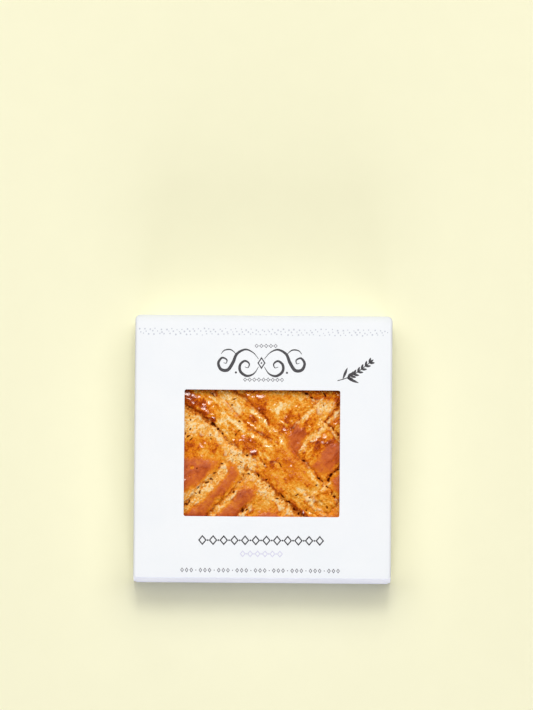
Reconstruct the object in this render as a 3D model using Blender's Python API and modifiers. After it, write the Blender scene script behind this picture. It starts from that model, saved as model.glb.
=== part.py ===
"""A square Breton butter cake in its shut carton, with the window up.

Metres, +Z up. The origin is the middle of the carton's underside, and +Y runs to
the carton's far end, which has the broad, soft fold.
"""

import math

import bmesh
import bpy
from mathutils import Vector, noise

# The carton, outside.
CARTON_WIDTH = 0.1300
CARTON_LENGTH = 0.1339
CARTON_HEIGHT = 0.0280
CARD = 0.0005
END_WALL = 2 * CARD
FAR_FOLD_RADIUS = 0.0045
FAR_CORNER_RADIUS = 0.0030
CREASE_RADIUS = 0.0008
INSIDE_CREASE = 0.0002
BEVEL_SEGMENTS = 4

# The window in the front panel.
WINDOW_WIDTH = 0.0787
WINDOW_LENGTH = 0.0643
WINDOW_CORNER = 0.0010
WINDOW_X = -0.0005
WINDOW_Y = -0.0035

# The end closures: each end panel hangs from the front panel, one card proud of the side flaps
# under it, and tucks in at the foot. Each has (which end, inset at its sides, top of its steps).
CLOSURE_INSET = 0.0014
CLOSURES = (
    (-1, CLOSURE_INSET, CARTON_HEIGHT + CARD),
    (1, FAR_CORNER_RADIUS, CARTON_HEIGHT - FAR_FOLD_RADIUS),
)
TUCK_LINE = 0.00035

# The seam on the back, where the glued side ends beside the fold.
SEAM_WIDTH = 0.0003
SEAM_DEPTH = 0.00025

# The cake.
CAKE_WIDTH = 0.1214
CAKE_LENGTH = 0.1244
CAKE_TOP = 0.0246
CAKE_CORNER = 0.0070
REST_GAP = 0.0003
CAKE_FLOOR = CARD + REST_GAP
EDGE_ROUND = 0.0040
EDGE_DROP = 0.0030
SIDE_DRAFT = 0.0014
FINE_STEP = 0.00136
COARSE_STEP = 0.0050
FINE_MARGIN = 0.0015
EDGE_LINES = (0.6, 1.0)
SIDE_ROWS = 3

# The baker's fork marks, in mm from the window's middle, each from left to right as
# (points, depth in mm, half width of its sloping near side in mm). The far side is steep.
SCORES = (
    (((-58, 38), (-39, 24), (-33, 21.5), (-27, 16.5), (-23, 13), (-19.5, 8.5), (-15, 4.4)), 2.1, 2.4),
    (((-15, 4.4), (-7, -1), (-2.5, -3.2), (1, -5)), 1.0, 1.8),
    (((-8, -8), (-5, -9.4), (-1.5, -11.9), (3.5, -15.8), (13, -24.2), (20.5, -31), (32, -43)), 2.0, 2.8),
    (((-46, 50), (-26, 31), (-18, 25.5), (-8, 14), (-2, 10), (5, 7)), 0.7, 1.2),
    (((-30, 50), (-13, 31), (-7, 26.5), (1, 18.5), (4, 15)), 1.2, 1.3),
    (((5, 12.5), (11, 8), (20.5, -3), (29, -12), (33, -16.5), (39, -25), (54, -40)), 1.6, 1.7),
    (((5, -4), (11, -8), (13.5, -13.5)), 0.7, 1.2),
    (((23, -20.5), (31.5, -29.2), (44, -43)), 0.9, 1.6),
    (((-58, -52), (-38, -26), (-30, -16.5), (-23, -9.8), (-19.8, -5), (-16, -0.5)), 1.7, 2.8),
    (((-44, -55), (-26, -30.2), (-14.5, -18.6), (-9, -11)), 1.4, 2.2),
    (((-32, -57), (-12, -30.8), (-8, -27.4)), 1.2, 1.9),
    (((14, 11), (19, 17), (29, 27)), 0.7, 2.1),
    (((31.5, 16), (39, 25), (56, 47)), 1.2, 1.8),
    (((31, 16.5), (36.5, 12), (38.2, 9.5), (58, -10)), 1.1, 1.7),
    (((18.8, 2.5), (22, 7.6), (31.5, 14.5)), 0.9, 1.8),
    (((31, -16), (36.5, -9), (39, -7), (58, 16)), 1.5, 2.0),
    (((4, 52), (22, 30.5), (28, 27.5)), 1.0, 1.3),
    (((-58, -20), (-42, -10)), 0.8, 1.6),
    (((26, -40), (60, -1)), 1.2, 1.9),
    (((-60, 20), (-38, 52)), 1.0, 1.9),
    (((34, 56), (60, 28)), 1.2, 1.6),
)
STEEP_SIDE = 0.9
LUMP_HEIGHT = 0.40
LUMP_LENGTH = 10.0
CRAG_HEIGHT = 0.30
CRAG_LENGTH = 3.6
MM = 0.001

# Colours as the eye sees them: red, green, blue from 0 to 1, then roughness.
CARTON_WHITE = ((0.93, 0.94, 0.95), 0.35)
CRUST_GOLD = ((0.72, 0.36, 0.10), 0.55)


def clear_scene():
    for old in list(bpy.data.objects):
        bpy.data.objects.remove(old)


def collection(name):
    made = bpy.data.collections.new(name)
    bpy.context.scene.collection.children.link(made)
    return made


def material(name, colour, roughness):
    made = bpy.data.materials.new(name)
    made.use_nodes = True
    shader = made.node_tree.nodes["Principled BSDF"]
    shader.inputs["Base Color"].default_value = (*colour, 1.0)
    shader.inputs["Roughness"].default_value = roughness
    shader.inputs["Metallic"].default_value = 0.0
    return made


def object_from(bm, name, home):
    bmesh.ops.recalc_face_normals(bm, faces=bm.faces[:])
    mesh = bpy.data.meshes.new(name)
    bm.to_mesh(mesh)
    bm.free()
    made = bpy.data.objects.new(name, mesh)
    home.objects.link(made)
    return made


def as_cutter(made):
    made.hide_render = True
    made.display_type = "WIRE"
    return made


def block(name, home, low, high):
    """A plain box between two corners."""
    bm = bmesh.new()
    bmesh.ops.create_cube(bm, size=1.0)
    for vert in bm.verts:
        vert.co = Vector(h if c > 0 else l for c, l, h in zip(vert.co, low, high))
    return object_from(bm, name, home)


def fold_radius(edge, inset):
    """The radius of one of the carton's edges, on a box that is inset from the outer one."""
    start, end = (vert.co for vert in edge.verts)
    far = min(start.y, end.y) > 0
    upright = abs(start.z - end.z) > CARTON_HEIGHT / 2
    above = min(start.z, end.z) > CARTON_HEIGHT / 2
    if far and upright:
        outer = FAR_CORNER_RADIUS
    elif far and above:
        outer = FAR_FOLD_RADIUS
    else:
        outer = CREASE_RADIUS
    return max(outer - inset, INSIDE_CREASE)


def soft_block(name, home, side_inset, end_inset, face_inset):
    """The carton's form, inset by a wall at its sides, its ends, and its front and back."""
    half_width = CARTON_WIDTH / 2 - side_inset
    half_length = CARTON_LENGTH / 2 - end_inset
    low = (-half_width, -half_length, face_inset)
    high = (half_width, half_length, CARTON_HEIGHT - face_inset)
    made = block(name, home, low, high)
    bm = bmesh.new()
    bm.from_mesh(made.data)
    weight = bm.edges.layers.float.new("bevel_weight_edge")
    for edge in bm.edges:
        edge[weight] = fold_radius(edge, face_inset) / FAR_FOLD_RADIUS
    bm.to_mesh(made.data)
    bm.free()
    bevel = made.modifiers.new("folds", "BEVEL")
    bevel.limit_method = "WEIGHT"
    bevel.width = FAR_FOLD_RADIUS
    bevel.segments = BEVEL_SEGMENTS
    return made


def cut(target, cutter, name):
    made = target.modifiers.new(name, "BOOLEAN")
    made.operation = "DIFFERENCE"
    made.solver = "EXACT"
    made.object = cutter


def window_cutter(home):
    half_width, half_length = WINDOW_WIDTH / 2, WINDOW_LENGTH / 2
    low = (WINDOW_X - half_width, WINDOW_Y - half_length, CARTON_HEIGHT / 2)
    high = (WINDOW_X + half_width, WINDOW_Y + half_length, CARTON_HEIGHT + CARD)
    made = block("window_cutter", home, low, high)
    bm = bmesh.new()
    bm.from_mesh(made.data)
    upright = [e for e in bm.edges if abs(e.verts[0].co.z - e.verts[1].co.z) > CARD]
    bmesh.ops.bevel(
        bm, geom=upright, offset=WINDOW_CORNER, segments=3, profile=0.5, affect="EDGES"
    )
    bm.to_mesh(made.data)
    bm.free()
    return as_cutter(made)


def closure_cutters(home):
    """The steps beside each end panel, down to the flaps, and the line where its foot tucks in."""
    made = []
    for end, inset, step_top in CLOSURES:
        face = end * CARTON_LENGTH / 2
        inner, outer = sorted((face - end * CARD, face + end * CARD))
        reach = CARTON_WIDTH / 2 - inset
        for side in (-1, 1):
            near, away = sorted((side * reach, side * (CARTON_WIDTH / 2 + CARD)))
            low, high = (near, inner, -CARD), (away, outer, step_top)
            made.append(block(f"step_{end}_{side}", home, low, high))
        tuck_top = CARD + TUCK_LINE
        made.append(block(f"tuck_{end}", home, (-reach, inner, CARD), (reach, outer, tuck_top)))
    return made


def seam_cutter(home):
    start = CARTON_WIDTH / 2 - CREASE_RADIUS - SEAM_WIDTH
    low = (start, -CARTON_LENGTH / 2 - CARD, -CARD)
    high = (start + SEAM_WIDTH, CARTON_LENGTH / 2 + CARD, SEAM_DEPTH)
    return block("seam", home, low, high)


def make_carton(home, cutters):
    carton = soft_block("carton", home, 0.0, 0.0, 0.0)
    cavity = as_cutter(soft_block("cavity_cutter", cutters, CARD, END_WALL, CARD))
    cut(carton, cavity, "hollow")
    cut(carton, window_cutter(cutters), "window")
    for line in closure_cutters(cutters) + [seam_cutter(cutters)]:
        cut(carton, as_cutter(line), line.name)
    carton.data.materials.append(material("carton_card", *CARTON_WHITE))
    return carton


def distance_to_line(x, y, points):
    """How far (x, y) is from a line through the points, in mm, and whether it is on its near side."""
    best, near_side = math.inf, False
    for (ax, ay), (bx, by) in zip(points, points[1:]):
        run_x, run_y = bx - ax, by - ay
        along = ((x - ax) * run_x + (y - ay) * run_y) / (run_x**2 + run_y**2)
        along = min(1.0, max(0.0, along))
        away = math.hypot(x - ax - along * run_x, y - ay - along * run_y)
        if away < best:
            best = away
            near_side = (x - ax) * run_y > (y - ay) * run_x
    return best, near_side


def score_depth(x, y):
    """How deep the fork marks are at (x, y), in mm: the deepest of them."""
    cut_depth = 0.0
    for points, depth, slope in SCORES:
        away, near_side = distance_to_line(x, y, points)
        half_width = slope if near_side else STEEP_SIDE
        cut_depth = max(cut_depth, depth * math.exp(-((away / half_width) ** 2)))
    return cut_depth


def crust_relief(x, y):
    """Lumps and crags of the crust at (x, y), in mm."""
    lumps = LUMP_HEIGHT * noise.noise(Vector((x, y, 0.0)) / LUMP_LENGTH)
    crags = CRAG_HEIGHT * noise.noise(Vector((x, y, 30.0)) / CRAG_LENGTH)
    return lumps + crags


def edge_distance(x, y):
    """How far (x, y) is inside the cake's round-cornered outline, in metres."""
    side = CAKE_WIDTH / 2 - CAKE_CORNER
    end = CAKE_LENGTH / 2 - CAKE_CORNER
    over_x, over_y = abs(x) - side, abs(y) - end
    outside = math.hypot(max(over_x, 0.0), max(over_y, 0.0))
    return CAKE_CORNER - outside - min(max(over_x, over_y), 0.0)


def cake_height(x, y):
    """The height of the cake's top at (x, y), in metres."""
    window_x, window_y = (x - WINDOW_X) / MM, (y - WINDOW_Y) / MM
    relief = crust_relief(window_x, window_y) - score_depth(window_x, window_y)
    short = max(0.0, 1.0 - edge_distance(x, y) / EDGE_ROUND)
    return CAKE_TOP + relief * MM * (1.0 - short) - EDGE_DROP * short**2


def even_lines(start, end, step):
    """Evenly spaced values after start, up to end, about a step apart."""
    count = round(abs(end - start) / step)
    return [start + (i + 1) * (end - start) / count for i in range(count)]


def spaced_lines(reach, fine_low, fine_high):
    """Grid lines from -reach to reach, close together under the window and at the round edge."""
    shoulder = reach - EDGE_ROUND
    lines = [fine_low] + even_lines(fine_low, fine_high, FINE_STEP)
    lines += even_lines(fine_low, -shoulder, COARSE_STEP)
    lines += even_lines(fine_high, shoulder, COARSE_STEP)
    for share in EDGE_LINES:
        lines += [-shoulder - share * EDGE_ROUND, shoulder + share * EDGE_ROUND]
    return sorted(lines)


def onto_outline(x, y):
    """Pulls a point of the square grid in, so that the grid's rim follows the round corners."""
    side = CAKE_WIDTH / 2 - CAKE_CORNER
    end = CAKE_LENGTH / 2 - CAKE_CORNER
    over_x, over_y = abs(x) - side, abs(y) - end
    if over_x <= 0 or over_y <= 0:
        return x, y
    shrink = max(over_x, over_y) / math.hypot(over_x, over_y)
    return (
        math.copysign(side + over_x * shrink, x),
        math.copysign(end + over_y * shrink, y),
    )


def make_cake(home):
    """A grid for the top, its rim drawn down to the foot, and a flat underside."""
    fine_x = WINDOW_WIDTH / 2 + FINE_MARGIN
    fine_y = WINDOW_LENGTH / 2 + FINE_MARGIN
    columns = spaced_lines(CAKE_WIDTH / 2, WINDOW_X - fine_x, WINDOW_X + fine_x)
    rows = spaced_lines(CAKE_LENGTH / 2, WINDOW_Y - fine_y, WINDOW_Y + fine_y)
    bm = bmesh.new()
    bmesh.ops.create_grid(
        bm, x_segments=len(columns) - 1, y_segments=len(rows) - 1, size=0.5
    )
    for vert in bm.verts:
        column = round((vert.co.x + 0.5) * (len(columns) - 1))
        row = round((vert.co.y + 0.5) * (len(rows) - 1))
        x, y = onto_outline(columns[column], rows[row])
        vert.co = (x, y, cake_height(x, y))
    rim = [edge for edge in bm.edges if edge.is_boundary]
    for step in range(SIDE_ROWS):
        drawn = bmesh.ops.extrude_edge_only(bm, edges=rim)["geom"]
        rim = [g for g in drawn if isinstance(g, bmesh.types.BMEdge)]
        for vert in (g for g in drawn if isinstance(g, bmesh.types.BMVert)):
            share = 1.0 / (SIDE_ROWS - step)
            narrow = 1.0 - SIDE_DRAFT / CAKE_WIDTH / SIDE_ROWS
            vert.co.z += (CAKE_FLOOR - vert.co.z) * share
            vert.co.x *= narrow
            vert.co.y *= narrow
    bmesh.ops.edgeloop_fill(bm, edges=rim)
    cake = object_from(bm, "cake", home)
    cake.data.shade_smooth()
    cake.data.materials.append(material("cake_crust", *CRUST_GOLD))
    return cake


def main():
    clear_scene()
    parts = collection("boxed_breton_cake")
    cutters = collection("cutters")
    make_carton(parts, cutters)
    make_cake(parts)


main()
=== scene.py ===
"""The looks of a square Breton butter cake in its shut window carton, lying window up.

The frame's units are metres. The print and the crust's features are placed in millimetres
from the middle of the window, x to the right and y towards the carton's far end.
"""

import math
import random
from contextlib import contextmanager

import bmesh
import bpy
import numpy as np
from mathutils import Matrix, Vector, noise


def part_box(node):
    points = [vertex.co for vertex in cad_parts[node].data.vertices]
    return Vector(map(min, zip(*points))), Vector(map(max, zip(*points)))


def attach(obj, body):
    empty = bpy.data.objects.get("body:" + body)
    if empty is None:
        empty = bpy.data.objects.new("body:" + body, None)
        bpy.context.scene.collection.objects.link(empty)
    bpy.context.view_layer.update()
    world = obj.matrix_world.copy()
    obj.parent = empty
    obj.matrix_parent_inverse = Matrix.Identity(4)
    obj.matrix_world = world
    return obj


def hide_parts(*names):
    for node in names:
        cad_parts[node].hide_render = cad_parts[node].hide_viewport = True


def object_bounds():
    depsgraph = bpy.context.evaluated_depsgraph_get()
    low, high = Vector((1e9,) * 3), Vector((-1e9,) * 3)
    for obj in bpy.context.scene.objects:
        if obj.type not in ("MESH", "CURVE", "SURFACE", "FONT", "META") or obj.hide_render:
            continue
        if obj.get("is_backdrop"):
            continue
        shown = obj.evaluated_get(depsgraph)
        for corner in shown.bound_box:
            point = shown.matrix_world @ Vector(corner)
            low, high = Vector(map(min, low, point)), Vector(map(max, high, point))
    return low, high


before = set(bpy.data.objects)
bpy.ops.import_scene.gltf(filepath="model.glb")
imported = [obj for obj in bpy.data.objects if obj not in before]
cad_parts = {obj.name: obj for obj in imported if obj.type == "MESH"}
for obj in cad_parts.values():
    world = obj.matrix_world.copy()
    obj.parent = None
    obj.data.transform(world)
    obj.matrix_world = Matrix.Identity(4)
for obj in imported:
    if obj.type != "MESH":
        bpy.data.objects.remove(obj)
CAD_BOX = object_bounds()
CARTON_LOW, CARTON_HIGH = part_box("carton")
CAKE_LOW, CAKE_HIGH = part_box("cake")

MM = 0.001
TOP = CARTON_HIGH.z
HALF_WIDTH = CARTON_HIGH.x
HALF_LENGTH = CARTON_HIGH.y

# The carton's folds and panels, as the CAD has them. Only the front panel's side folds are a
# little softer, and its near fold is a little sharper.
CARD = 0.5 * MM
FAR_FOLD = 4.5 * MM
FAR_CORNER = 3.0 * MM
SIDE_FOLD = 1.3 * MM
NEAR_FOLD = 0.5 * MM
CREASE = 0.8 * MM
INSIDE_CREASE = 0.25 * MM
FOLD_SEGMENTS = 8
SHARP_TURN = 35
WINDOW_SIZE = (78.7 * MM, 64.3 * MM)
WINDOW_MIDDLE = (-0.5 * MM, -3.5 * MM)
WINDOW_CORNER = 1.0 * MM
WINDOW_CORNER_SEGMENTS = 6
CLOSURE_INSET = 1.4 * MM
TUCK_LINE = 0.35 * MM
SEAM_WIDTH = 0.3 * MM
PANEL_BOW = 0.25 * MM
PANEL_STEP = 6.0 * MM

# The print. Its strokes are in mm.
INK_RAISE = 0.030 * MM
INK_SINK = 0.020 * MM
HAIR = 0.06
PEN_TIP = 0.25
MITER_LIMIT = 0.4
CURVE_STEPS = 10
LEAF_STEPS = 8

# The cake, in mm.
CAKE_CORNER = 7.0
EDGE_ROUND = 4.0
EDGE_DROP = 3.0
SIDE_DRAFT = 0.7
SIDE_ROUGHNESS = 0.25
SIDE_LUMP = 2.5
FINE_STEP = 0.31
COARSE_STEP = 1.25
FINE_MARGIN = 2.0
SIDE_ROWS = 12
TOP_LEVEL = 24.6
PARALLAX = 0.36
LUMP_RISE = 0.30
GLAZE_RISE = 0.20
HOLE_DEPTH = 0.6
POOL_SLOPE = 0.17
POOL_RISE = 0.1
POOL_RIPPLE = 0.03
# The looks of the sides, from 0 to 1, under the names of the crust's own fields.
SIDE_SHARES = {"tone": 0.62, "gloss": 0.1, "holes": 0.0, "torn": 0.25, "crest": 0.5, "glaze": 0.0}

# Scales of colour: how far along each colour comes, and the colour as the eye sees it, 0 to 255.
# The crust's and the glaze's run from light to dark, and the crumb's from low to high: the crumb
# is painted darker low down and paler on its tops, as painted shade and painted light.
CRUST_SCALE = (
    (0.02, (255, 226, 168)), (0.20, (250, 189, 90)), (0.40, (243, 161, 42)),
    (0.58, (229, 126, 17)), (0.74, (200, 92, 10)), (0.90, (152, 50, 4)), (1.0, (84, 26, 4)),
)
GLAZE_SCALE = ((0.54, (232, 132, 34)), (0.74, (209, 102, 43)), (0.94, (170, 66, 18)))
CRUMB_SCALE = (
    (0.08, (188, 104, 24)), (0.28, (240, 157, 58)), (0.50, (255, 201, 107)),
    (0.74, (255, 230, 176)),
)
CARD_SCALE = ((0.3, (245, 248, 250)), (0.7, (249, 251, 252)))
CUT_EDGE_SCALE = ((0.3, (205, 199, 189)), (0.7, (226, 221, 212)))
FLOOR_SCALE = ((0.3, (251, 248, 213)), (0.7, (252, 249, 214)))
INK_DARK = (38, 36, 42)
INK_GREY = (96, 94, 102)
INK_DOTS = (202, 205, 213)
INK_LAVENDER = (216, 215, 232)
INK_SPREAD = 10

# Shares of the light thrown back, which paint shade: by the card's near end, front and far end,
# by its front and its sides, and by ever deeper holes. The card's ends and sides are painted
# darker than its front, the near end also more lavender, and holes darker the deeper they are.
END_PAINTED_SHADE = ((0.0, (0.88, 0.87, 1.0)), (0.5, (1.0, 1.0, 1.0)), (1.0, (0.83, 0.84, 0.86)))
SIDE_PAINTED_SHADE = ((0.0, (1.0, 1.0, 1.0)), (1.0, (0.90, 0.89, 0.94)))
HOLE_PAINTED_SHADE = ((0.0, (1.0, 1.0, 1.0)), (0.45, (0.46, 0.25, 0.11)), (0.9, (0.10, 0.04, 0.015)))


def linear(colour):
    """A colour of 0 to 255 as the shader's linear values."""
    shares = [part / 255 for part in colour]
    return tuple(s / 12.92 if s <= 0.04045 else ((s + 0.055) / 1.055) ** 2.4 for s in shares)


# Helpers for meshes.


def link(name, data):
    made = bpy.data.objects.new(name, data)
    bpy.context.scene.collection.objects.link(made)
    return made


def object_from(bm, name):
    bmesh.ops.recalc_face_normals(bm, faces=bm.faces[:])
    mesh = bpy.data.meshes.new(name)
    bm.to_mesh(mesh)
    bm.free()
    return link(name, mesh)


@contextmanager
def editing(mesh):
    """The mesh as a bmesh, which is written back to it at the end."""
    bm = bmesh.new()
    bm.from_mesh(mesh)
    yield bm
    bm.to_mesh(mesh)
    bm.free()


def settle(piece):
    """Applies the piece's modifiers."""
    bpy.context.view_layer.update()
    evaluated = piece.evaluated_get(bpy.context.evaluated_depsgraph_get())
    mesh = bpy.data.meshes.new_from_object(evaluated)
    piece.modifiers.clear()
    piece.data = mesh


def block(name, low, high):
    bm = bmesh.new()
    bmesh.ops.create_cube(bm, size=1.0)
    for vert in bm.verts:
        vert.co = Vector(h if c > 0 else l for c, l, h in zip(vert.co, low, high))
    return object_from(bm, name)


def carve(target, cutters):
    """Cuts the cutters out of the target, and removes them."""
    for cutter in cutters:
        made = target.modifiers.new(cutter.name, "BOOLEAN")
        made.operation = "DIFFERENCE"
        made.solver = "EXACT"
        made.object = cutter
    settle(target)
    for cutter in cutters:
        bpy.data.objects.remove(cutter)


# The carton.


def fold_radius(edge, inset):
    start, end = (vert.co for vert in edge.verts)
    far = min(start.y, end.y) > 0
    upright = abs(start.z - end.z) > TOP / 2
    above = min(start.z, end.z) > TOP / 2
    lengthwise = abs(start.y - end.y) > HALF_LENGTH
    if far and upright:
        outer = FAR_CORNER
    elif far and above:
        outer = FAR_FOLD
    elif above:
        outer = SIDE_FOLD if lengthwise else NEAR_FOLD
    else:
        outer = CREASE
    return max(outer - inset, INSIDE_CREASE)


def soft_block(name, side_inset, end_inset, face_inset):
    """The carton's form, inset by a wall at its sides, its ends, and its front and back."""
    low = (side_inset - HALF_WIDTH, end_inset - HALF_LENGTH, face_inset)
    high = (HALF_WIDTH - side_inset, HALF_LENGTH - end_inset, TOP - face_inset)
    made = block(name, low, high)
    with editing(made.data) as bm:
        weight = bm.edges.layers.float.new("bevel_weight_edge")
        for edge in bm.edges:
            edge[weight] = fold_radius(edge, face_inset) / FAR_FOLD
    bevel = made.modifiers.new("folds", "BEVEL")
    bevel.limit_method = "WEIGHT"
    bevel.width = FAR_FOLD
    bevel.segments = FOLD_SEGMENTS
    settle(made)
    return made


def window_cutter():
    middle_x, middle_y = WINDOW_MIDDLE
    half_x, half_y = WINDOW_SIZE[0] / 2, WINDOW_SIZE[1] / 2
    made = block(
        "window_cutter",
        (middle_x - half_x, middle_y - half_y, TOP / 2),
        (middle_x + half_x, middle_y + half_y, TOP + CARD),
    )
    round_off = {"offset": WINDOW_CORNER, "segments": WINDOW_CORNER_SEGMENTS, "profile": 0.5}
    with editing(made.data) as bm:
        upright = [e for e in bm.edges if abs(e.verts[0].co.z - e.verts[1].co.z) > CARD]
        bmesh.ops.bevel(bm, geom=upright, affect="EDGES", **round_off)
    return made


def end_cutters():
    """Each end panel is one card proud of the flaps under it, narrower than the carton,
    and has a fine gap where it tucks in at its foot."""
    made = []
    for end, inset, step_top in ((-1, CLOSURE_INSET, TOP + CARD), (1, FAR_CORNER, TOP - FAR_FOLD)):
        face = end * HALF_LENGTH
        inner, outer = sorted((face - end * CARD, face + end * CARD))
        reach = HALF_WIDTH - inset
        for side in (-1, 1):
            near, away = sorted((side * reach, side * (HALF_WIDTH + CARD)))
            made.append(block(f"step_{end}_{side}", (near, inner, -CARD), (away, outer, step_top)))
        tuck_top = CARD + TUCK_LINE
        made.append(block(f"tuck_{end}", (-reach, inner, CARD), (reach, outer, tuck_top)))
    return made


def seam_cutter():
    """The line on the back where the side's edge ends beside the fold, over the glued flap."""
    start = HALF_WIDTH - CREASE - SEAM_WIDTH
    low = (start, -HALF_LENGTH - CARD, -CARD)
    high = (start + SEAM_WIDTH, HALF_LENGTH + CARD, CARD / 2)
    return block("seam_cutter", low, high)


def arch(share):
    """1 in the middle of a panel, and 0 from its folds outwards."""
    return max(0.0, 1.0 - share**2)


def bow(x, y):
    """How far the front panel stands up at (x, y), from the board's own spring."""
    return PANEL_BOW * arch(x / HALF_WIDTH) * arch(y / HALF_LENGTH)


def bowed(bm):
    """Adds points across the panels and lets each bow outwards a little."""
    for axis, reach in ((Vector((1, 0, 0)), HALF_WIDTH), (Vector((0, 1, 0)), HALF_LENGTH)):
        count = math.ceil(2 * reach / PANEL_STEP)
        for i in range(1, count):
            place = axis * (2 * reach * i / count - reach)
            geometry = bm.verts[:] + bm.edges[:] + bm.faces[:]
            bmesh.ops.bisect_plane(bm, geom=geometry, plane_co=place, plane_no=axis)
    for vert in bm.verts:
        x, y, z = vert.co
        upper = min(1.0, max(0.0, z / TOP))
        spring = PANEL_BOW * arch(2 * upper - 1) * arch(y / HALF_LENGTH)
        if z > TOP / 2:
            vert.co.z += bow(x, y) * upper**4
        vert.co.x += math.copysign(spring, x) * (abs(x) / HALF_WIDTH) ** 8


def make_carton():
    carton = soft_block("carton_board", 0.0, 0.0, 0.0)
    cavity = soft_block("cavity_cutter", CARD, 2 * CARD, CARD)
    carve(carton, [cavity, window_cutter(), seam_cutter()] + end_cutters())
    with editing(carton.data) as bm:
        bowed(bm)
        for face in bm.faces:
            face.material_index = int(is_cut_edge(face))
    carton.data.shade_smooth()
    carton.data.set_sharp_from_angle(angle=math.radians(SHARP_TURN))
    carton.data.materials.clear()
    carton.data.materials.append(card_material())
    carton.data.materials.append(cut_edge_material())
    return carton


def is_cut_edge(face):
    """Whether the board is cut through there, as it is at the window's rim."""
    x, y, z = face.calc_center_median()
    beside_x = abs(x - WINDOW_MIDDLE[0]) - WINDOW_SIZE[0] / 2
    beside_y = abs(y - WINDOW_MIDDLE[1]) - WINDOW_SIZE[1] / 2
    upright = abs(face.normal.z) < 0.3
    return upright and z > TOP - 2 * CARD and max(beside_x, beside_y) < CARD / 2


# The print: thin shapes on the front panel.


def stroke(bm, points, widths, closed=False):
    """A flat band along the points, with its own width at each, in mm on the front panel."""
    path = [Vector(point) for point in points]
    ends = (path[-1], path[0]) if closed else (2 * path[0] - path[1], 2 * path[-1] - path[-2])
    path = [ends[0], *path, ends[1]]
    rows = []
    for before, here, after, width in zip(path, path[1:], path[2:], widths):
        out = (after - here).normalized()
        along = ((here - before).normalized() + out).normalized()
        side = Vector((-along.y, along.x))
        miter = 1 / max(MITER_LIMIT, abs(side.dot(Vector((-out.y, out.x)))))
        reach = side * (max(width, HAIR) / 2 * miter)
        edges = (here + reach, here - reach)
        levels = (INK_RAISE, -INK_SINK)
        rows.append([on_panel(bm, *edge, level) for level in levels for edge in edges])
    if closed:
        rows.append(rows[0])
    for row, other in zip(rows, rows[1:]):
        for a, b in ((0, 1), (1, 3), (3, 2), (2, 0)):
            bm.faces.new((row[a], row[b], other[b], other[a]))
    if not closed:
        for row in (rows[0], rows[-1]):
            bm.faces.new((row[0], row[1], row[3], row[2]))


def on_panel(bm, x, y, level):
    place_x = WINDOW_MIDDLE[0] + x * MM
    place_y = WINDOW_MIDDLE[1] + y * MM
    return bm.verts.new((place_x, place_y, TOP + bow(place_x, place_y) + level))


def dot(bm, x, y, radius, sides=12):
    turns = [math.tau * i / sides for i in range(sides)]
    points = [(x + radius * math.cos(turn), y + radius * math.sin(turn)) for turn in turns]
    upper = [on_panel(bm, *p, INK_RAISE) for p in points]
    lower = [on_panel(bm, *p, -INK_SINK) for p in points]
    bm.faces.new(upper)
    bm.faces.new(lower[::-1])
    for i in range(sides):
        j = (i + 1) % sides
        bm.faces.new((upper[i], lower[i], lower[j], upper[j]))


def curve_points(knots):
    """Points along a smooth curve through the knots."""
    padded = np.array([knots[0], *knots, knots[-1]], float)
    points = []
    for p, q, r, s in zip(padded, padded[1:], padded[2:], padded[3:]):
        slope, bend, twist = r - p, 2 * p - 5 * q + 4 * r - s, 3 * q - p - 3 * r + s
        for i in range(CURVE_STEPS):
            t = i / CURVE_STEPS
            points.append(tuple(0.5 * (2 * q + slope * t + bend * t**2 + twist * t**3)))
    return points + [tuple(padded[-1])]


def swelling(count, thick, peak):
    """Widths like a broad pen's: thin at both ends, thick at the peak."""
    widths = []
    for i in range(count):
        t = i / (count - 1)
        t = 0.5 * t / peak if t < peak else 0.5 + 0.5 * (t - peak) / (1 - peak)
        widths.append(PEN_TIP + (thick - PEN_TIP) * math.sin(math.pi * t) ** 1.5)
    return widths


def swash(bm, knots, thick, peak):
    points = curve_points(knots)
    stroke(bm, points, swelling(len(points), thick, peak))


def leaf(bm, x, y, degrees, length, width):
    """A pointed leaf or grain, from its foot at (x, y)."""
    angle = math.radians(degrees)
    way_x, way_y = length * math.cos(angle), length * math.sin(angle)
    along = [i / LEAF_STEPS for i in range(LEAF_STEPS + 1)]
    points = [(x + way_x * share, y + way_y * share) for share in along]
    stroke(bm, points, [width * math.sin(math.pi * share) ** 0.8 for share in along])


def lozenge(bm, x, y, half_width, half_height, line):
    points = [(x + half_width, y), (x, y + half_height), (x - half_width, y), (x, y - half_height)]
    stroke(bm, points, [line] * 4, closed=True)


def scroll_ornament(bm, x, y):
    """A mirrored pair of pen scrolls round a lozenge."""
    for side in (-1, 1):
        outer = (
            (1.5, 2.0), (4.2, 5.2), (8.2, 6.8), (12.4, 4.6), (14.4, 0.2), (17.0, -3.6),
            (20.4, -3.4), (21.8, -0.2), (20.0, 2.5), (17.6, 1.6), (17.8, -0.2), (19.2, 0.0),
        )
        inner = (
            (1.5, -2.0), (3.8, -5.4), (7.4, -6.6), (10.6, -4.4), (10.8, -1.0), (8.4, 1.0),
            (6.2, -0.4), (6.8, -2.4), (8.4, -2.0),
        )
        tendril = ((12.6, 4.2), (15.4, 6.6), (18.6, 6.4), (20.4, 4.6))
        for knots, thick, peak in ((outer, 1.65, 0.42), (inner, 1.4, 0.35), (tendril, 0.7, 0.5)):
            swash(bm, [(x + side * a, y + b) for a, b in knots], thick, peak)
        dot(bm, x + side * 12.9, y - 4.9, 0.55)
    lozenge(bm, x, y, 1.7, 2.6, 0.6)
    dot(bm, x, y, 0.45)


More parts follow.
